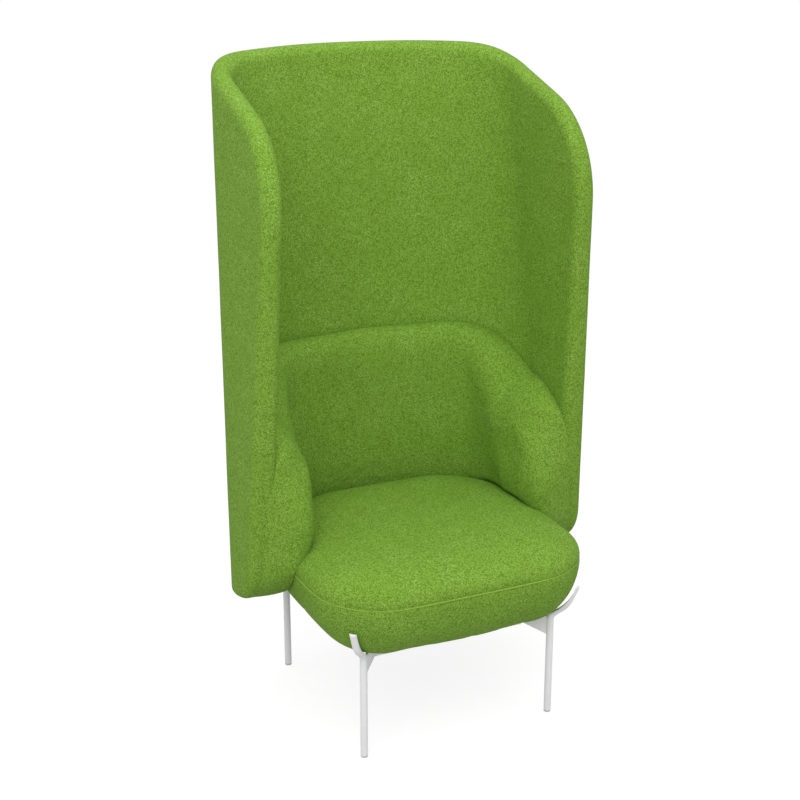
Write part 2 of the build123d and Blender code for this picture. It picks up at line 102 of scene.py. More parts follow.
def makeWorld():
    world = bpy.data.worlds.new("studio")
    bpy.context.scene.world = world
    world.use_nodes = True
    nodes, links = world.node_tree.nodes, world.node_tree.links
    nodes.clear()
    output = nodes.new("ShaderNodeOutputWorld")
    even = nodes.new("ShaderNodeBackground")
    even.inputs["Color"].default_value = (1, 1, 1, 1)
    even.inputs["Strength"].default_value = ambient
    white = nodes.new("ShaderNodeBackground")
    white.inputs["Color"].default_value = (1, 1, 1, 1)
    whiteSeenBy(nodes, links, even.outputs[0], white.outputs[0], output.inputs["Surface"])


def whiteFloor(nodes, links, lit, output):
    # white to the camera where nothing shades it, and a share of its lit self for the object's shadow
    glow = nodes.new("ShaderNodeEmission")
    glow.inputs["Strength"].default_value = floorLook["glow"]
    shade = nodes.new("ShaderNodeBsdfDiffuse")
    shade.inputs["Color"].default_value = (*[floorLook["shadow"]] * 3, 1)
    both = nodes.new("ShaderNodeAddShader")
    links.new(glow.outputs[0], both.inputs[0])
    links.new(shade.outputs[0], both.inputs[1])
    whiteSeenBy(nodes, links, lit, both.outputs[0], output)


def makeFloor():
    bpy.ops.object.select_all(action="DESELECT")
    bpy.ops.mesh.primitive_plane_add(size=floorLook["size"])
    floor = bpy.context.object
    floor.name = "floor"
    material, nodes, links = newMaterial("paleFloor")
    surface = nodes["Principled BSDF"]
    surface.inputs["Base Color"].default_value = (*floorLook["colour"], 1)
    surface.inputs["Roughness"].default_value = floorLook["roughness"]
    whiteFloor(nodes, links, surface.outputs[0], nodes["Material Output"].inputs["Surface"])
    floor.data.materials.append(material)


def makeLamps():
    for name, lamp in lamps.items():
        data = bpy.data.lights.new(name, "AREA")
        data.size = lamp["size"]
        data.energy = lamp["power"]
        holder = bpy.data.objects.new(name, data)
        bpy.context.scene.collection.objects.link(holder)
        holder.location = lamp["place"]
        away = Vector(lamp["place"]) - Vector(lamp["aim"])
        holder.rotation_euler = away.to_track_quat("Z", "Y").to_euler()


bpy.context.scene.view_settings.view_transform = "Standard"
makeCamera()
makeWorld()
makeFloor()
makeLamps()
print("camera, background and lamps are in place")


# shared effects

def effectGroup(name, inputs):
    # every effect reads a vector and puts out a colour, a height and a roughness
    tree = bpy.data.node_groups.new(name, "ShaderNodeTree")
    for label, kind, value in inputs + [("Vector", "NodeSocketVector", (0, 0, 0))]:
        socket = tree.interface.new_socket(label, in_out="INPUT", socket_type=kind)
        socket.default_value = value
    for label in ("Color", "Height", "Roughness"):
        kind = "NodeSocketColor" if label == "Color" else "NodeSocketFloat"
        tree.interface.new_socket(label, in_out="OUTPUT", socket_type=kind)
    return tree, tree.nodes.new("NodeGroupInput"), tree.nodes.new("NodeGroupOutput")


def mathNode(tree, operation, first, second):
    node = tree.nodes.new("ShaderNodeMath")
    node.operation = operation
    for number, value in enumerate((first, second)):
        if isinstance(value, (int, float)):
            node.inputs[number].default_value = value
        else:
            tree.links.new(value, node.inputs[number])
    return node.outputs[0]


def mixColour(tree, share, first, second):
    node = tree.nodes.new("ShaderNodeMix")
    node.data_type = "RGBA"
    tree.links.new(share, node.inputs[0])
    tree.links.new(first, node.inputs[6])
    tree.links.new(second, node.inputs[7])
    return node.outputs[2]


def rampNode(tree, value, ends):
    node = tree.nodes.new("ShaderNodeMapRange")
    node.inputs["From Min"].default_value = ends[0]
    node.inputs["From Max"].default_value = ends[1]
    tree.links.new(value, node.inputs["Value"])
    return node.outputs["Result"]


def roughnessNode(tree, value, low, rise):
    return mathNode(tree, "ADD", mathNode(tree, "MULTIPLY", value, rise), low)


def noiseNode(tree, vector, scale, detail):
    node = tree.nodes.new("ShaderNodeTexNoise")
    node.inputs["Detail"].default_value = detail
    tree.links.new(vector, node.inputs["Vector"])
    if isinstance(scale, (int, float)):
        node.inputs["Scale"].default_value = scale
    else:
        tree.links.new(scale, node.inputs["Scale"])
    return node.outputs[0]


melange = {
    "speckScale": 0.7,  # specks to a loop
    "cloudScale": 16.0,
    "lightLoops": (0.4, 0.95),  # pairs are the ends of ramps
    "lightClouds": (0.2, 0.7),
    "darkLoops": (0.72, 0.95),
    "darkSpecks": (0.55, 0.66),
    "gaps": (0.4, 0.85),
    "darkMix": 0.75,
    "darkSunk": 0.4,
    "roughness": 0.85,
    "darkRoughness": 0.1,
}


def makeMelange():
    # loops of wool in a few shades, dark gaps between them, and broad soft clouds of tone
    tree, given, made = effectGroup(
        "melange",
        [
            ("Ground", "NodeSocketColor", (0.2, 0.4, 0.04, 1)),
            ("Light", "NodeSocketColor", (0.3, 0.5, 0.06, 1)),
            ("Dark", "NodeSocketColor", (0.1, 0.2, 0.02, 1)),
            ("Loops Per Metre", "NodeSocketFloat", 300.0),
        ],
    )
    vector, count = given.outputs["Vector"], given.outputs["Loops Per Metre"]
    loops = tree.nodes.new("ShaderNodeTexVoronoi")
    tree.links.new(vector, loops.inputs["Vector"])
    tree.links.new(count, loops.inputs["Scale"])
    shade = tree.nodes.new("ShaderNodeSeparateColor")
    tree.links.new(loops.outputs["Color"], shade.inputs[0])
    specks = noiseNode(tree, vector, mathNode(tree, "MULTIPLY", count, melange["speckScale"]), 2.0)
    clouds = noiseNode(tree, vector, melange["cloudScale"], 4.0)
    lightLoops = rampNode(tree, shade.outputs[0], melange["lightLoops"])
    lightShare = mathNode(tree, "MULTIPLY", lightLoops, rampNode(tree, clouds, melange["lightClouds"]))
    darkLoops = rampNode(tree, shade.outputs[1], melange["darkLoops"])
    darkShare = mathNode(tree, "MAXIMUM", darkLoops, rampNode(tree, specks, melange["darkSpecks"]))
    darkAll = mathNode(tree, "MAXIMUM", darkShare, rampNode(tree, loops.outputs["Distance"], melange["gaps"]))
    lit = mixColour(tree, lightShare, given.outputs["Ground"], given.outputs["Light"])
    darkness = mathNode(tree, "MULTIPLY", darkAll, melange["darkMix"])
    colour = mixColour(tree, darkness, lit, given.outputs["Dark"])
    tree.links.new(colour, made.inputs["Color"])
    raised = mathNode(tree, "SUBTRACT", 1.0, loops.outputs["Distance"])
    height = mathNode(tree, "SUBTRACT", raised, mathNode(tree, "MULTIPLY", darkShare, melange["darkSunk"]))
    tree.links.new(height, made.inputs["Height"])
    roughness = roughnessNode(tree, darkAll, melange["roughness"], melange["darkRoughness"])
    tree.links.new(roughness, made.inputs["Roughness"])
    return tree


powderCoat = {"filmScale": 22.0, "shade": (0.35, 0.8), "roughness": 0.3, "filmRoughness": 0.18}


def makePowderCoat():
    # fine dimples of powder coat, under a film that is a little uneven in tone and gloss
    tree, given, made = effectGroup(
        "powderCoat",
        [
            ("Paint", "NodeSocketColor", (0.8, 0.8, 0.8, 1)),
            ("Shade", "NodeSocketColor", (0.7, 0.7, 0.7, 1)),
            ("Grains Per Metre", "NodeSocketFloat", 900.0),
        ],
    )
    vector = given.outputs["Vector"]
    dimples = noiseNode(tree, vector, given.outputs["Grains Per Metre"], 1.0)
    film = noiseNode(tree, vector, powderCoat["filmScale"], 3.0)
    share = rampNode(tree, film, powderCoat["shade"])
    colour = mixColour(tree, share, given.outputs["Paint"], given.outputs["Shade"])
    tree.links.new(colour, made.inputs["Color"])
    tree.links.new(dimples, made.inputs["Height"])
    roughness = roughnessNode(tree, film, powderCoat["roughness"], powderCoat["filmRoughness"])
    tree.links.new(roughness, made.inputs["Roughness"])
    return tree


streaks = {"streak": (0.35, 0.7), "roughness": 0.35, "streakRoughness": 0.2}


def makeStreaks():
    # long grain, for bare steel and for plywood
    tree, given, made = effectGroup(
        "streaks",
        [
            ("Ground", "NodeSocketColor", (0.5, 0.5, 0.5, 1)),
            ("Streak", "NodeSocketColor", (0.4, 0.4, 0.4, 1)),
            ("Stretch", "NodeSocketVector", (60, 60, 600)),
        ],
    )
    stretched = tree.nodes.new("ShaderNodeVectorMath")
    stretched.operation = "MULTIPLY"
    tree.links.new(given.outputs["Vector"], stretched.inputs[0])
    tree.links.new(given.outputs["Stretch"], stretched.inputs[1])
    grain = noiseNode(tree, stretched.outputs[0], 1.0, 5.0)
    share = rampNode(tree, grain, streaks["streak"])
    colour = mixColour(tree, share, given.outputs["Ground"], given.outputs["Streak"])
    tree.links.new(colour, made.inputs["Color"])
    tree.links.new(grain, made.inputs["Height"])
    roughness = roughnessNode(tree, share, streaks["roughness"], streaks["streakRoughness"])
    tree.links.new(roughness, made.inputs["Roughness"])
    return tree


effects = {"melange": makeMelange(), "powderCoat": makePowderCoat(), "streaks": makeStreaks()}


def groupMaterial(name, look):
    # one Principled surface fed by one effect on object coordinates
    material, nodes, links = newMaterial(name)
    surface = nodes["Principled BSDF"]
    place = nodes.new("ShaderNodeTexCoord")
    effect = nodes.new("ShaderNodeGroup")
    effect.node_tree = effects[look["effect"]]
    links.new(place.outputs["Object"], effect.inputs["Vector"])
    for label, value in look["colours"].items():
        effect.inputs[label].default_value = (*value, 1)
    for label, value in look["values"].items():
        effect.inputs[label].default_value = value
    links.new(effect.outputs["Color"], surface.inputs["Base Color"])
    links.new(effect.outputs["Roughness"], surface.inputs["Roughness"])
    bump = nodes.new("ShaderNodeBump")
    bump.inputs["Strength"].default_value = look["bump"]
    bump.inputs["Distance"].default_value = look["depth"]
    links.new(effect.outputs["Height"], bump.inputs["Height"])
    links.new(bump.outputs[0], surface.inputs["Normal"])
    for label, value in look["surface"].items():
        surface.inputs[label].default_value = value
    return material


looks = {
    "limeWool": {
        "effect": "melange",
        "colours": {
            "Ground": (0.214, 0.396, 0.045),
            "Light": (0.32, 0.53, 0.105),
            "Dark": (0.078, 0.162, 0.008),
        },
        "values": {"Loops Per Metre": 420.0},
        "bump": 0.5,
        "depth": 0.0012,
        "surface": {"Specular IOR Level": 0.15},
    },
    "seamCloth": {
        "effect": "melange",
        "colours": {
            "Ground": (0.26, 0.46, 0.06),
            "Light": (0.34, 0.56, 0.09),
            "Dark": (0.18, 0.34, 0.035),
        },
        "values": {"Loops Per Metre": 480.0},
        "bump": 0.4,
        "depth": 0.0008,
        "surface": {"Specular IOR Level": 0.15},
    },
    "blackFelt": {
        "effect": "melange",
        "colours": {
            "Ground": (0.02, 0.02, 0.021),
            "Light": (0.04, 0.04, 0.042),
            "Dark": (0.01, 0.01, 0.01),
        },
        "values": {"Loops Per Metre": 700.0},
        "bump": 0.5,
        "depth": 0.0006,
        "surface": {"Specular IOR Level": 0.2},
    },
    "whitePowder": {
        "effect": "powderCoat",
        "colours": {"Paint": (0.86, 0.86, 0.87), "Shade": (0.82, 0.82, 0.83)},
        "values": {"Grains Per Metre": 900.0},
        "bump": 0.08,
        "depth": 0.0003,
        "surface": {"Specular IOR Level": 0.5},
    },
    "glideNylon": {
        "effect": "powderCoat",
        "colours": {"Paint": (0.62, 0.62, 0.63), "Shade": (0.56, 0.56, 0.57)},
        "values": {"Grains Per Metre": 1500.0},
        "bump": 0.15,
        "depth": 0.0002,
        "surface": {"Specular IOR Level": 0.4},
    },
    "bareSteel": {
        "effect": "streaks",
        "colours": {"Ground": (0.42, 0.42, 0.43), "Streak": (0.33, 0.33, 0.34)},
        "values": {"Stretch": (90, 90, 900)},
        "bump": 0.1,
        "depth": 0.0002,
        "surface": {"Metallic": 1.0},
    },
    "zinc": {
        "effect": "streaks",
        "colours": {"Ground": (0.62, 0.63, 0.65), "Streak": (0.52, 0.53, 0.56)},
        "values": {"Stretch": (160, 160, 160)},
        "bump": 0.08,
        "depth": 0.0002,
        "surface": {"Metallic": 1.0},
    },
    "rawPlywood": {
        "effect": "streaks",
        "colours": {"Ground": (0.55, 0.38, 0.22), "Streak": (0.40, 0.25, 0.13)},
        "values": {"Stretch": (25, 25, 650)},
        "bump": 0.2,
        "depth": 0.0004,
        "surface": {"Specular IOR Level": 0.3},
    },
}
materials = {name: groupMaterial(name, look) for name, look in looks.items()}
slotLooks = {
    "frame_white": "whitePowder",
    "glide_plastic": "glideNylon",
    "bracket_steel": "bareSteel",
    "zinc_steel": "zinc",
    "plywood": "rawPlywood",
    "dust_felt": "blackFelt",
    "upholstery": "limeWool",
    "seam_piping": "seamCloth",
    "foam": "blackFelt",  # pieces take the place of all that has it
}
for part in frame["record"]["subparts"]:
    node = frame["nodes"][part["node"]]
    for holder in node.material_slots:
        holder.material = materials[slotLooks[part["material_slot"]]]
print("materials are made and put on the packed nodes")


# mesh helpers

mergeDistance = 0.00002


def between(low, high, share):
    return low + (high - low) * share


def softStep(low, high, at):
    share = max(0.0, min(1.0, (at - low) / (high - low)))
    return share * share * (3 - 2 * share)


def makePiece(name, points, faces, look):
    mesh = bpy.data.meshes.new(name)
    mesh.from_pydata(points, [], faces)
    shape = bmesh.new()
    shape.from_mesh(mesh)
    bmesh.ops.remove_doubles(shape, verts=shape.verts, dist=mergeDistance)
    bmesh.ops.recalc_face_normals(shape, faces=shape.faces)
    shape.to_mesh(mesh)
    shape.free()
    mesh.polygons.foreach_set("use_smooth", [True] * len(mesh.polygons))
    piece = bpy.data.objects.new(name, mesh)
    bpy.context.scene.collection.objects.link(piece)
    mesh.materials.append(materials[look])
    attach(piece, "root")
    return piece


def applyModifiers(piece):
    # the mesh that the modifiers make takes the place of the piece's own
    graph = bpy.context.evaluated_depsgraph_get()
    made = bpy.data.meshes.new_from_object(piece.evaluated_get(graph), depsgraph=graph)
    old = piece.data
    piece.modifiers.clear()
    piece.data = made
    made.name = piece.name
    bpy.data.meshes.remove(old)
    made.polygons.foreach_set("use_smooth", [True] * len(made.polygons))


def subdivided(piece, levels):
    smooth = piece.modifiers.new("smooth", "SUBSURF")
    smooth.levels = smooth.render_levels = levels
    applyModifiers(piece)


def mirrored(points, faces):
    # the half at +X and its mirror image, with the faces of the image turned
    count = len(points)
    image = [(-p[0], p[1], p[2]) for p in points]
    turned = [tuple(count + k for k in reversed(face)) for face in faces]
    return points + image, faces + turned


def gridFaces(grid):
    faces = []
    for low, high in zip(grid, grid[1:]):
        for k in range(len(low) - 1):
            faces.append((low[k], low[k + 1], high[k + 1], high[k]))
    return faces


def ringFaces(first, second):
    count = len(first)
    return [(first[k], first[(k + 1) % count], second[(k + 1) % count], second[k]) for k in range(count)]


def smoothThrough(places, values, at):
    # value at a place on a smooth curve through all the given points
    k = max(0, min(bisect.bisect_right(places, at) - 1, len(places) - 2))
    span = places[k + 1] - places[k]
    t = max(0.0, min(1.0, (at - places[k]) / span))

    def slope(number):
        low, high = max(0, number - 1), min(len(places) - 1, number + 1)
        return (values[high] - values[low]) / (places[high] - places[low])

    start, end = slope(k) * span, slope(k + 1) * span
    rise = values[k + 1] - values[k]
    return values[k] + t * start + t * t * (3 * rise - 2 * start - end) + t ** 3 * (start + end - 2 * rise)


# plan and side view of the screen

wall = {
    "midHeight": 0.900,
    "thickness": 0.045,
    "halfWidth": 0.386,
    "taper": 0.042,
    "corner": 0.209,
    "cornerTaper": 0.094,
    "backY": 0.2877,
    "lean": 0.056,
    "bow": 0.740,
    "rim": 0.020,
    "side": [
        (0.446, 0.250), (0.141, 0.250), (-0.077, 0.3175),
        (-0.1518, 1.2869), (0.258, 1.4256), (0.446, 1.443),
    ],
    "radii": [0.300, 0.107, 0.207, 0.300],
    "sideStep": 0.003,
    "meshTurns": (-38, 33),  # degrees on the side view where an edge of the mesh ends and the front begins
    "turnsPart": 0.6,  # the first of them lies below this height, the second above
    "firstHeights": (0.26, 1.40),  # from here the heights of the lower and upper edge are found
    "bowColumns": 12,
    "cornerColumns": 20,
    "sideColumns": 20,
    "rows": 84,
    "rimSteps": 8,
    "swell": 0.009,  # the padding is this much thicker low down
    "swellFrom": (1.20, 0.62),
    "wander": 0.0006,  # how far the padding lies off the perfect form
}


def wallPlan(height):
    rise = height - wall["midHeight"]
    radius = wall["corner"] - wall["cornerTaper"] * rise
    cornerX = wall["halfWidth"] - wall["taper"] * rise - radius
    cornerY = wall["backY"] + wall["lean"] * rise - radius
    bowY = cornerY - math.sqrt((wall["bow"] - radius) ** 2 - cornerX ** 2)
    return cornerX, cornerY, radius, bowY


def wallPoint(column, height, inset):
    # column 0 to 1 is the bow, 1 to 2 the corner, and past 2 the side, in metres
    cornerX, cornerY, radius, bowY = wallPlan(height)
    turn = math.atan2(cornerY - bowY, cornerX)
    if column >= 2:
        return Vector((cornerX + radius - inset, cornerY - (column - 2), height))
    if column >= 1:
        angle, reach, middle = turn * (2 - column), radius - inset, (cornerX, cornerY)
    else:
        angle, reach, middle = between(math.pi / 2, turn, column), wall["bow"] - inset, (0, bowY)
    return Vector((middle[0] + reach * math.cos(angle), middle[1] + reach * math.sin(angle), height))


def wallThickness(height):
    return wall["thickness"] + wall["swell"] * softStep(*wall["swellFrom"], height)


def wallNormal(column, height):
    cornerX, cornerY, radius, bowY = wallPlan(height)
    turn = math.atan2(cornerY - bowY, cornerX)
    angle = 0 if column >= 2 else turn * (2 - column) if column >= 1 else between(math.pi / 2, turn, column)
    return Vector((math.cos(angle), math.sin(angle), 0))


def roundedSide(step):
    # points and outward normals along the side view, from low behind round the front to high behind
    path = [Vector(p) for p in wall["side"]]
    samples, start = [], path[0]
    for number, radius in enumerate(wall["radii"], 1):
        here = path[number]
        before = (here - path[number - 1]).normalized()
        after = (path[number + 1] - here).normalized()
        turn = math.atan2(before.x * after.y - before.y * after.x, before.dot(after))
        cut = radius * math.tan(abs(turn) / 2)
        normal = Vector((-before.y, before.x))
        entry = here - before * cut
        steps = max(2, int((entry - start).length / step))
        samples += [(start.lerp(entry, k / steps), normal) for k in range(steps)]
        centre = entry - normal * radius
        steps = max(8, int(radius * abs(turn) / step))
        for k in range(steps):
            arm = Matrix.Rotation(turn * k / steps, 2) @ normal
            samples.append((centre + arm * radius, arm))
        start = here + after * cut
    normal = Vector((-after.y, after.x))
    steps = int((path[-1] - start).length / step)
    samples += [(start.lerp(path[-1], k / steps), normal) for k in range(steps + 1)]
    return samples


sideSamples = roundedSide(wall["sideStep"])
offsetSides = {}


def offsetSide(depth):
    # the side view drawn in by a depth: its points, lengths and the four places where the mesh turns
    key = round(depth, 6)
    if key in offsetSides:
        return offsetSides[key]
    points = [p - n * depth for p, n in sideSamples]
    lengths = [0.0]
    for a, b in zip(points, points[1:]):
        lengths.append(lengths[-1] + (b - a).length)
    ahead = [p.x - wallPlan(p.y)[1] for p in points]  # below 0 ahead of the corner
    crossings = [k for k in range(1, len(points)) if (ahead[k] < 0) != (ahead[k - 1] < 0)]
    exact = []
    for k in (crossings[0], crossings[-1]):
        share = ahead[k - 1] / (ahead[k - 1] - ahead[k])
        exact.append(between(lengths[k - 1], lengths[k], share))
    angles = [math.atan2(n.y, -n.x) for p, n in sideSamples]
    lowTurn, highTurn = (math.radians(a) for a in wall["meshTurns"])
    low = next(k for k, a in enumerate(angles) if a > lowTurn and points[k].y < wall["turnsPart"])
    high = next(k for k, a in enumerate(angles) if a > highTurn and points[k].y > wall["turnsPart"])
    offsetSides[key] = (points, lengths, exact[0], lengths[low], lengths[high], exact[1])
    return offsetSides[key]


def sideAt(depth, length):
    points, lengths = offsetSide(depth)[:2]
    k = max(1, min(bisect.bisect_left(lengths, length), len(points) - 1))
    share = (length - lengths[k - 1]) / (lengths[k] - lengths[k - 1])
    p = points[k - 1].lerp(points[k], share)
    return 2 + wallPlan(p.y)[1] - p.x, p.y


def edgeHeight(y, depth, top):
    points = offsetSide(depth)[0]
    half = len(points) // 2
    chosen = points[half:] if top else points[half::-1]
    k = next((k for k in range(1, len(chosen)) if chosen[k].x >= y > chosen[k - 1].x), len(chosen) - 1)
    share = (y - chosen[k - 1].x) / (chosen[k].x - chosen[k - 1].x)
    return between(chosen[k - 1].y, chosen[k].y, share)


def columnEnd(column, depth, inset, top):
    height = wall["firstHeights"][1 if top else 0]
    for step in range(4):  # the edge's height and the wall's depth there settle on each other
        height = edgeHeight(wallPoint(column, height, inset).y, depth, top)
    return column, height


def columnList(bowCount, cornerCount):
    return [k / bowCount for k in range(bowCount)] + [1 + k / cornerCount for k in range(cornerCount + 1)]


wallColumns = columnList(wall["bowColumns"], wall["cornerColumns"])


def screenEdges(depth, inset):
    # the four edges of one half of the wall, each a list of (column, height)
    cornerLow, middleLow, middleHigh, cornerHigh = offsetSide(depth)[2:]
    steps = wall["sideColumns"]
    bottom = [columnEnd(c, depth, inset, False) for c in wallColumns]
    bottom += [sideAt(depth, between(cornerLow, middleLow, k / steps)) for k in range(1, steps + 1)]
    top = [columnEnd(c, depth, inset, True) for c in wallColumns]
    top += [sideAt(depth, between(cornerHigh, middleHigh, k / steps)) for k in range(1, steps + 1)]
    front = [sideAt(depth, between(middleLow, middleHigh, k / wall["rows"])) for k in range(wall["rows"] + 1)]
    return bottom, top, front


def patch(bottom, top, front, shares, rows):
    # heights and columns all over one half, from its four edges; the first edge is the middle column
    corner = len(bottom) - len(shares) - 1
    grid = []
    for k, (low, high) in enumerate(zip(bottom, top)):
        if k <= corner:
            grid.append([(low[0], between(low[1], high[1], b)) for b in rows])
            continue
        a = shares[k - corner - 1]
        line = []
        for j, b in enumerate(rows):
            spot = []
            for axis in (0, 1):
                left = between(bottom[corner][axis], top[corner][axis], b)
                edges = between(low[axis], high[axis], b) + between(left, front[j][axis], a)
                corners = between(
                    between(bottom[corner][axis], bottom[-1][axis], a),
                    between(top[corner][axis], top[-1][axis], a),
                    b,
                )
                spot.append(edges - corners)
            line.append(tuple(spot))
        grid.append(line)
    return grid


wandersPerMetre = 7


def wandered(point, size, seed):
    # a slow wander of the surface, the same on each run
    place = Vector(point) * wandersPerMetre + Vector((seed, 0, 0))
    return Vector(point) + noise.noise_vector(place) * size


def makeScreen():
    rim, thickness = wall["rim"], wall["thickness"]
    shares = [k / wall["sideColumns"] for k in range(1, wall["sideColumns"] + 1)]
    rows = [k / wall["rows"] for k in range(wall["rows"] + 1)]
    points, faces = [], []

    def addPoints(spots, inset, inner):
        start = len(points)
        for column, height in spots:
            points.append(tuple(wallPoint(column, height, wallThickness(height) - inset if inner else inset)))
        return list(range(start, len(points)))

    def ring(depth, inset, inner):
        bottom, top, front = screenEdges(depth, thickness - inset if inner else inset)
        return addPoints(bottom + front[1:-1] + top[::-1], inset, inner)

    for inner in (False, True):
        grid = patch(*screenEdges(rim, thickness if inner else 0), shares, rows)
        faces += gridFaces([addPoints(line, 0, inner) for line in grid])
    turns = [math.pi / 2 * k / wall["rimSteps"] for k in range(wall["rimSteps"] + 1)]
    rings = [ring(rim * (1 - math.sin(t)), rim * (1 - math.cos(t)), False) for t in turns]
    rings += [ring(rim * (1 - math.cos(t)), rim * (1 - math.sin(t)), True) for t in turns]
    points, faces = mirrored(points, faces + gridFaces(rings))
    points = [wandered(p, wall["wander"], 3) for p in points]
    screen = makePiece("screenPanel", points, faces, "limeWool")
    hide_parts("screen_cover", "screen_outer_padding", "screen_inner_padding")
    return screen


screenPanel = makeScreen()
print("screen is made:", len(screenPanel.data.polygons), "faces")


# seat cushion

seat = {
    "seam": 0.372,
    "halfWidth": 0.316,
    "front": -0.351,
    "rear": 0.198,
    "bulge": 0.009,
    "frontCorner": 0.145,
    "rearCorner": 0.165,
    "leastCorner": 0.040,
    "rearShare": 0.3,  # the rear draws in by this share of the depth, and its corner's radius by the next
    "rearRoundShare": 0.7,
    "middleY": -0.08,
    "cornerSteps": 16,
    "edgeSteps": 22,
    "lowRings": 12,
    "crownShares": (0.004, 0.015, 0.04, 0.08, 0.13, 0.2, 0.28, 0.37, 0.47, 0.58, 0.7, 0.82, 0.93),
    "bottom": 0.236,
    "flat": 0.2376,  # underside, just above the felt
    "crown": 0.446,
    "crownReach": 0.270,
    "crownPower": 2.6,
    "undersideReach": 0.100,
    "skin": 0.0005,  # the form starts this much smaller
    "voxel": 0.0075,
    "wander": 0.0008,
    "groove": 0.0016,
    "grooveReach": 0.005,
    "puckers": 60,  # to a metre
    "puckerShare": 0.5,
}
puff = {
    "quality": 5,
    "mass": 0.3,
    "stretch": 12,
    "bend": 1.5,
    "pressure": 4.0,
    "frames": 20,
    "cap": 0.003,  # most that the simulation moves a point
}


def cushionOutline(depth):
    # rounded rectangle with bowed sides, always with the same count of points
    half = seat["halfWidth"] - depth
    front = seat["front"] + depth
    rear = seat["rear"] - seat["rearShare"] * depth
    frontRound = min(half, max(seat["leastCorner"], seat["frontCorner"] - depth))
    rearRound = min(half, max(seat["leastCorner"], seat["rearCorner"] - seat["rearRoundShare"] * depth))
    corners = [
        (half - frontRound, front + frontRound, frontRound, -90),
        (half - rearRound, rear - rearRound, rearRound, 0),
        (-half + rearRound, rear - rearRound, rearRound, 90),
        (-half + frontRound, front + frontRound, frontRound, 180),
    ]
    line = []
    cornerSteps, edgeSteps = seat["cornerSteps"], seat["edgeSteps"]
    for number, (x, y, radius, turn) in enumerate(corners):
        for k in range(cornerSteps + 1):
            angle = math.radians(turn + 90 * k / cornerSteps)
            line.append(Vector((x + radius * math.cos(angle), y + radius * math.sin(angle))))
        after = corners[(number + 1) % 4]
        angle = math.radians(after[3])
        end = Vector((after[0] + after[2] * math.cos(angle), after[1] + after[2] * math.sin(angle)))
        start = line[-1].copy()
        line += [start.lerp(end, k / edgeSteps) for k in range(1, edgeSteps)]
    middle, reach = (front + rear) / 2, (rear - front) / 2
    bowed = []
    for p in line:
        across, along = p.x / half, (p.y - middle) / reach
        bowed.append((p.x - seat["bulge"] * across * along ** 2, p.y - seat["bulge"] * along * across ** 2))
    return bowed


def cushionForm(skin):
    rings = []
    for k in range(seat["lowRings"] + 1):
        turn = math.pi / 2 * (1 - k / seat["lowRings"])
        drop = (seat["seam"] - seat["bottom"] - skin) * math.sin(turn)
        rings.append((seat["seam"] - drop, skin + (seat["undersideReach"] - skin) * (1 - math.cos(turn))))
    rise, power = seat["crown"] - seat["seam"] - skin, seat["crownPower"]
    for share in seat["crownShares"]:
        lift = rise * (1 - (1 - share) ** power) ** (1 / power)
        rings.append((seat["seam"] + lift, skin + share * (seat["crownReach"] - skin)))
    points, faces, rows = [], [], []
    for height, depth in rings:
        outline = cushionOutline(depth)
        rows.append(list(range(len(points), len(points) + len(outline))))
        points += [(x, y, height) for x, y in outline]
    for first, second in zip(rows, rows[1:]):
        faces += ringFaces(first, second)
    return points, faces + [tuple(reversed(rows[0])), tuple(rows[-1])]


def voxelRemeshed(piece, size):
    remesh = piece.modifiers.new("even mesh", "REMESH")
    remesh.mode = "VOXEL"
    remesh.voxel_size = size
    remesh.use_smooth_shade = True
    applyModifiers(piece)
    even = piece.modifiers.new("even out", "SMOOTH")
    even.factor = 0.5
    even.iterations = 4
    applyModifiers(piece)


def puffedUp(piece):
    # cloth under pressure swells the form; no point moves further than the cap
    rest = [v.co.copy() for v in piece.data.vertices]
    cloth = piece.modifiers.new("puff", "CLOTH")
    cloth.settings.quality = puff["quality"]
    cloth.settings.mass = puff["mass"]
    cloth.settings.tension_stiffness = puff["stretch"]
    cloth.settings.compression_stiffness = puff["stretch"]
    cloth.settings.bending_stiffness = puff["bend"]
    cloth.settings.use_pressure = True
    cloth.settings.uniform_pressure_force = puff["pressure"]
    cloth.settings.effector_weights.gravity = 0
    cloth.collision_settings.use_collision = False
    cloth.point_cache.frame_start = 1
    cloth.point_cache.frame_end = puff["frames"]
    for step in range(1, puff["frames"] + 1):
        bpy.context.scene.frame_set(step)
    applyModifiers(piece)
    for vertex, start in zip(piece.data.vertices, rest):
        move = vertex.co - start
        if move.length > puff["cap"]:
            vertex.co = start + move * (puff["cap"] / move.length)
    bpy.context.scene.frame_set(1)


def makeCushion():
    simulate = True
    points, faces = cushionForm(seat["skin"] if simulate else 0)
    cushion = makePiece("seatCushion", points, faces, "limeWool")
    voxelRemeshed(cushion, seat["voxel"])
    if simulate:
        puffedUp(cushion)
    subdivided(cushion, 1)
    for vertex in cushion.data.vertices:
        place = wandered(vertex.co, seat["wander"], 11)
        near = math.exp(-((place.z - seat["seam"]) / seat["grooveReach"]) ** 2)
        inward = Vector((-place.x, seat["middleY"] - place.y, 0)).normalized()
        spot = Vector((place.x * seat["puckers"], place.y * seat["puckers"], 0))
        pucker = 1 + seat["puckerShare"] * noise.noise(spot)
        place += inward * seat["groove"] * near * pucker
        place.z = max(place.z, seat["flat"])
        vertex.co = place
    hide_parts("seat_upper_cover", "seat_lower_cover", "seat_foam")
    return cushion


seatCushion = makeCushion()
print("seat cushion is made:", len(seatCushion.data.polygons), "faces")


def bvhOf(piece):
    mesh = piece.data
    return BVHTree.FromPolygons([v.co for v in mesh.vertices], [p.vertices for p in mesh.polygons])


welt = {"radius": 0.0019, "sides": 10, "proud": 0.0007, "startsOutside": 0.03, "smoothed": 3}


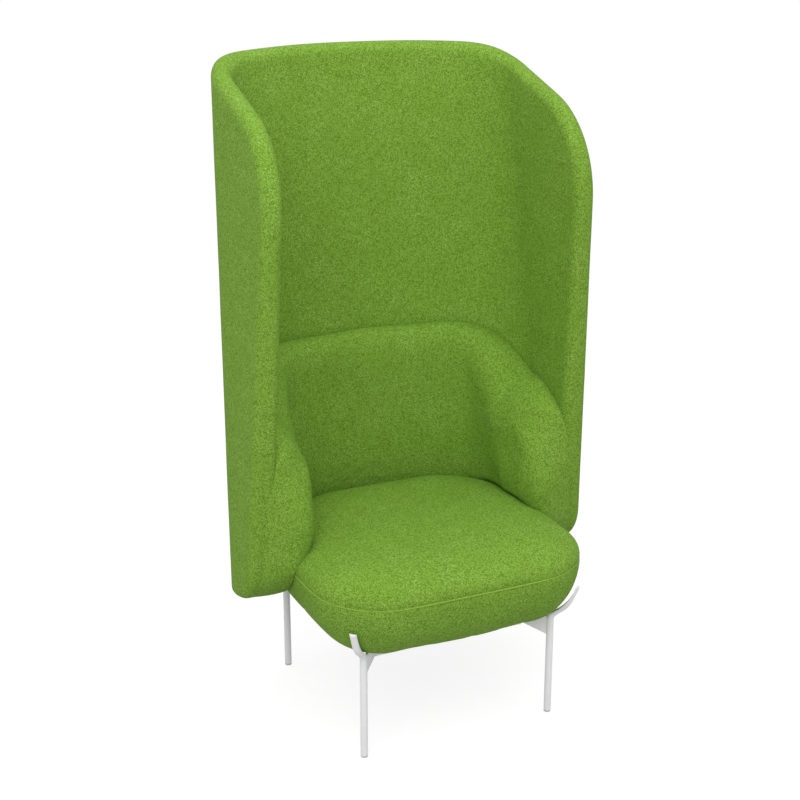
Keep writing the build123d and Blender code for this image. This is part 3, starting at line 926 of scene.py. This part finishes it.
def makePiping(cushion):
    # the welt lies in the groove of the cushion's seam
    tree = bvhOf(cushion)
    path = []
    for x, y in cushionOutline(-welt["startsOutside"]):
        start = Vector((x, y, seat["seam"]))
        inward = (Vector((0, seat["middleY"], seat["seam"])) - start).normalized()
        hit = tree.ray_cast(start, inward)[0]
        path.append(hit - inward * welt["proud"])
    for turn in range(welt["smoothed"]):
        path = [(path[k - 1] + path[k] * 2 + path[(k + 1) % len(path)]) / 4 for k in range(len(path))]
    points, faces, rows = [], [], []
    for k, place in enumerate(path):
        ahead = (path[(k + 1) % len(path)] - path[k - 1]).normalized()
        outward = ahead.cross(Vector((0, 0, 1))).normalized()
        row = []
        for step in range(welt["sides"]):
            angle = 2 * math.pi * step / welt["sides"]
            spoke = outward * math.cos(angle) + Vector((0, 0, math.sin(angle)))
            row.append(len(points))
            points.append(place + spoke * welt["radius"])
        rows.append(row)
    for first, second in zip(rows, rows[1:] + rows[:1]):
        faces += ringFaces(first, second)
    piping = makePiece("seatPiping", points, faces, "seamCloth")
    subdivided(piping, 1)
    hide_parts("seat_piping")


makePiping(seatCushion)
print("piping is made")


# felt under the seat

felt = {"inset": 0.104, "low": 0.2362, "thickness": 0.0011, "rings": (1, 0.75, 0.5, 0.25)}


def makeFelt():
    # two faces, each of rings drawn in to the middle, joined round the outer ring
    outline = cushionOutline(felt["inset"])
    count, middleY, ringCount = len(outline), seat["middleY"], len(felt["rings"])
    points, faces, rows = [], [], []
    for height in (felt["low"], felt["low"] + felt["thickness"]):
        for scale in felt["rings"]:
            rows.append(list(range(len(points), len(points) + count)))
            for x, y in outline:
                points.append((x * scale, (y - middleY) * scale + middleY, height))
    for layer in (rows[:ringCount], rows[ringCount:]):
        for first, second in zip(layer, layer[1:]):
            faces += ringFaces(first, second)
        faces.append(tuple(layer[-1]))
    faces += ringFaces(rows[0], rows[ringCount])
    sheet = makePiece("dustCover", points, faces, "blackFelt")
    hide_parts("seat_dust_cover")


makeFelt()
print("felt is made")


# tub: back pad and arms in one cover

tub = {
    "back": 0.0455,  # the pad's depths are counted from here, measured in from the screen's outer face
    "edge": 0.0005,  # its front and lower edges lie this far inside the screen's
    "nose": [
        (-0.0952, 0.560), (-0.0955, 0.592), (-0.0920, 0.618), (-0.0800, 0.645),
        (-0.0530, 0.6655), (-0.0200, 0.684), (0.0080, 0.693),
    ],
    "noseMiddle": 3,  # the point of the nose where the front edge meets the top edge
    "crest": [(0, 0.790), (0.5, 0.787), (1, 0.789), (1.3, 0.779), (1.5, 0.765), (1.75, 0.733), (2, 0.698)],
    "backFullness": [
        (0, 0.052), (0.8, 0.049), (1, 0.050), (1.1, 0.056), (1.2, 0.067), (1.3, 0.079),
        (1.4, 0.089), (1.55, 0.100), (1.75, 0.109), (2, 0.110),
    ],
    "armFullness": [(-0.12, 0.096), (-0.06, 0.098), (-0.02, 0.102), (0.01, 0.107)],
    "shoulder": 0.130,  # height of the round at the top, on the arms
    "shoulderPower": 1.3,  # above 1 the round starts flatter
    "backShoulder": 0.060,
    "frontRound": 0.045,
    "topPush": 0.012,  # the top swells up from its seam with the screen
    "frontPush": 0.033,  # how far the front of the arm swells past the rim
    "lowPushShare": 0.4,  # and at the lower edge this share of it
    "wrap": 0.013,  # how far it covers the rim's outer half
    "lowRound": 0.035,
    "roundHeights": (0.55, 0.65),  # between these heights or columns one value turns into the next
    "lowPushHeights": (0.31, 0.40),
    "frontPushHeights": (0.61, 0.47),
    "topPushHeights": (0.58, 0.66),
    "wrapHeights": (0.59, 0.53),
    "lowPushColumns": (1.9, 2.1),
    "shoulderColumns": (0.9, 1.7),
    "planHeight": 0.6,  # the fullness is given at this height
    "lowest": 0.23,
    "lowHeight": 0.32,
    "tuckHeight": 0.410,
    "fullestShare": 0.4,  # fullest this share of the way from the tuck to the shoulder
    "lowestTuck": -0.024,
    "lowTuck": -0.010,
    "armTuck": -0.011,
    "backTuck": -0.004,
    "belly": 0.002,
    "leastDepth": 0.006,
    "offScreen": 0.0003,
    "leastStand": 0.0004,
    "gap": 0.0014,  # to the cushion
    "middle": 0.001,  # points nearer than this to the middle go onto it
    "rows": 64,
    "rowEvenness": 0.12,
    "sideColumns": 26,
    "columnEvenness": 0.15,
}


def alongWall(column):
    # metres along the wall from the middle of the back, at one height
    cornerX, cornerY, radius, bowY = wallPlan(tub["planHeight"])
    turn = math.atan2(cornerY - bowY, cornerX)
    bowLength = (wall["bow"] - tub["back"]) * (math.pi / 2 - turn)
    cornerLength = (radius - tub["back"]) * turn
    if column <= 1:
        return bowLength * column
    if column <= 2:
        return bowLength + cornerLength * (column - 1)
    return bowLength + cornerLength + column - 2


fullPlaces = [alongWall(c) for c, t in tub["backFullness"]]
fullPlaces += [alongWall(2 + wallPlan(tub["planHeight"])[1] - y) for y, t in reversed(tub["armFullness"])]
fullValues = [t for c, t in tub["backFullness"]] + [t for y, t in reversed(tub["armFullness"])]


def tubDepth(column, height, crest):
    # how far the pad stands in from the wall, away from its edges
    plan, lowest, tuckHeight = tub["planHeight"], tub["lowest"], tub["tuckHeight"]
    depth = smoothThrough(fullPlaces, fullValues, alongWall(column))
    tucked = depth + between(tub["backTuck"], tub["armTuck"], max(0.0, min(1.0, column - 1)))
    shoulderHeight = crest - tub["shoulder"]
    fullest = tuckHeight + tub["fullestShare"] * (shoulderHeight - tuckHeight)
    heights = [lowest, tub["lowHeight"], tuckHeight, fullest, shoulderHeight, crest]
    depths = [tucked + tub["lowestTuck"], tucked + tub["lowTuck"], tucked]
    depths += [depth + tub["belly"], depth, depth - tub["belly"]]
    section = smoothThrough(heights, depths, max(lowest, min(crest, height)))
    # the wall leans and tapers, and the pad stays upright
    lean = wallPoint(column, height, tub["back"]) - wallPoint(column, plan, tub["back"])
    return max(tub["leastDepth"], section + lean.dot(wallNormal(column, plan)))


def denseEnds(count, ends):
    # shares from 0 to 1, closer together at both ends
    return [between(0.5 - 0.5 * math.cos(math.pi * k / count), k / count, ends) for k in range(count + 1)]


def denseEnd(count, ends):
    # shares up to 1 without the 0, closer together at the end
    return [between(math.sin(math.pi / 2 * k / count), k / count, ends) for k in range(1, count + 1)]


tubRows = denseEnds(tub["rows"], tub["rowEvenness"])
tubShares = denseEnd(tub["sideColumns"], tub["columnEvenness"])


def tubEdges():
    # the four edges of one half of the pad, each a list of (column, height)
    edge, back = tub["edge"], tub["back"]
    sidePoints, sideLengths, cornerLow, middleLow = offsetSide(edge)[:4]
    steps = tub["sideColumns"]
    crestColumns, crestHeights = [c for c, z in tub["crest"]], [z for c, z in tub["crest"]]
    bottom = [columnEnd(c, edge, back, False) for c in wallColumns]
    bottom += [sideAt(edge, between(cornerLow, middleLow, k / steps)) for k in range(1, steps + 1)]
    nose = [(2 + wallPlan(z)[1] - y, z) for y, z in tub["nose"]]
    nose.append((2, tub["crest"][-1][1]))
    lengths = [0.0]
    for a, b in zip(nose, nose[1:]):
        lengths.append(lengths[-1] + math.dist(a, b))
    middle = lengths[tub["noseMiddle"]]

    def noseAt(length):
        return tuple(smoothThrough(lengths, [p[axis] for p in nose], length) for axis in (0, 1))

    top = [(c, smoothThrough(crestColumns, crestHeights, c)) for c in wallColumns]
    top += [noseAt(between(lengths[-1], middle, share)) for share in tubShares]
    # the front edge runs up the side view to the foot of the nose, then along the nose to its middle
    joint = next(sideLengths[k] for k, p in enumerate(sidePoints) if p.x < 0 and p.y > nose[0][1])
    reach = joint - middleLow
    front = []
    for b in tubRows:
        length = b * (reach + middle)
        front.append(sideAt(edge, middleLow + length) if length < reach else noseAt(length - reach))
    return bottom, top, front


def nearestOn(lines):
    # finds the nearest place on lines of (column, height, value, value)
    places, values, steps = [], [], 10
    for line in lines:
        for a, b in zip(line, line[1:]):
            for k in range(steps):
                c, z, first, second = (between(a[n], b[n], k / steps) for n in range(4))
                places.append((alongWall(c), z, 0))
                values.append((first, second))
    finder = kdtree.KDTree(len(places))
    for number, place in enumerate(places):
        finder.insert(place, number)
    finder.balance()

    def nearest(column, height):
        here = Vector((alongWall(column), height, 0))
        place, number, distance = finder.find(here)
        return place - here, distance, values[number]

    return nearest


def tubBase(distance, height):
    # inset of the screen's surface under the pad, at a distance from the screen's outline
    rim, thickness = wall["rim"], wallThickness(height)
    if distance >= rim:
        return thickness + tub["offScreen"]
    wrapped = tub["wrap"] * (1 - distance / rim) * softStep(*tub["wrapHeights"], height)
    return thickness - rim + tub["offScreen"] + rim * math.sqrt(1 - (1 - distance / rim) ** 2) - wrapped


def tubOutline(bottom, top, front):
    # each point of the edges with the radius that the pad turns over there and its swell outwards
    frontPush, share, shoulder = tub["frontPush"], tub["lowPushShare"], tub["shoulder"]
    lowLine, frontLine, topLine = [], [], []
    for c, z in bottom:
        lowLine.append((c, z, tub["lowRound"], frontPush * share * softStep(*tub["lowPushColumns"], c)))
    for c, z in front:
        radius = between(tub["frontRound"], shoulder, softStep(*tub["roundHeights"], z))
        low = between(share, 1, softStep(*tub["lowPushHeights"], z))
        push = frontPush * softStep(*tub["frontPushHeights"], z) * low
        push = max(push, tub["topPush"] * softStep(*tub["topPushHeights"], z))
        frontLine.append((c, z, radius, push))
    for c, z in top:
        radius = between(tub["backShoulder"], shoulder, softStep(*tub["shoulderColumns"], c))
        topLine.append((c, z, radius, tub["topPush"]))
    return lowLine, frontLine, topLine


def makeTub(cushion):
    # two grids on one outline: the back lies on the screen, the front swells out as far as the cushion
    tree = bvhOf(cushion)
    bottom, top, front = tubEdges()
    grid = patch(bottom, top, front, tubShares, tubRows)
    padEdge = nearestOn(tubOutline(bottom, top, front))
    low, high, rimFront = screenEdges(0, 0)
    screenEdge = nearestOn([[(c, z, 0, 0) for c, z in line] for line in (low, rimFront, high)])
    points, fronts, backs = [], [], []
    for i, line in enumerate(grid):
        fronts.append([])
        backs.append([])
        for j, (c, z) in enumerate(line):
            inset = tubBase(screenEdge(c, z)[1], z)
            base = wallPoint(c, z, inset)
            backs[-1].append(len(points))
            points.append(tuple(base))
            if j in (0, len(line) - 1) or i == len(grid) - 1:
                fronts[-1].append(backs[-1][-1])
                continue
            away, distance, (radius, push) = padEdge(c, z)
            turn = math.acos(1 - min(1, distance / radius))
            power = between(1, tub["shoulderPower"], softStep(tub["backShoulder"], tub["shoulder"], radius))
            depth = (tub["back"] + tubDepth(c, z, top[i][1]) - inset) * math.sin(turn) ** power
            normal = wallNormal(c, z)
            hit = tree.ray_cast(base, -normal)[3]
            if hit is not None:
                depth = min(depth, max(tub["leastStand"], hit - tub["gap"]))
            forward = Vector((normal.y, -normal.x, 0))
            swell = away.normalized() * push * math.sin(2 * turn)
            fronts[-1].append(len(points))
            points.append(tuple(base - normal * depth + forward * swell.x + Vector((0, 0, swell.y))))
    # points of the middle line go exactly on it, so that the halves join
    points = [(x if abs(x) > tub["middle"] else 0, y, z) for x, y, z in points]
    faces = gridFaces(fronts) + gridFaces(backs)
    points, faces = mirrored(points, faces)
    pad = makePiece("tubPad", points, faces, "limeWool")
    subdivided(pad, 1)
    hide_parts("tub_cover", "tub_foam")
    return pad


tubPad = makeTub(seatCushion)
print("tub is made:", len(tubPad.data.polygons), "faces")
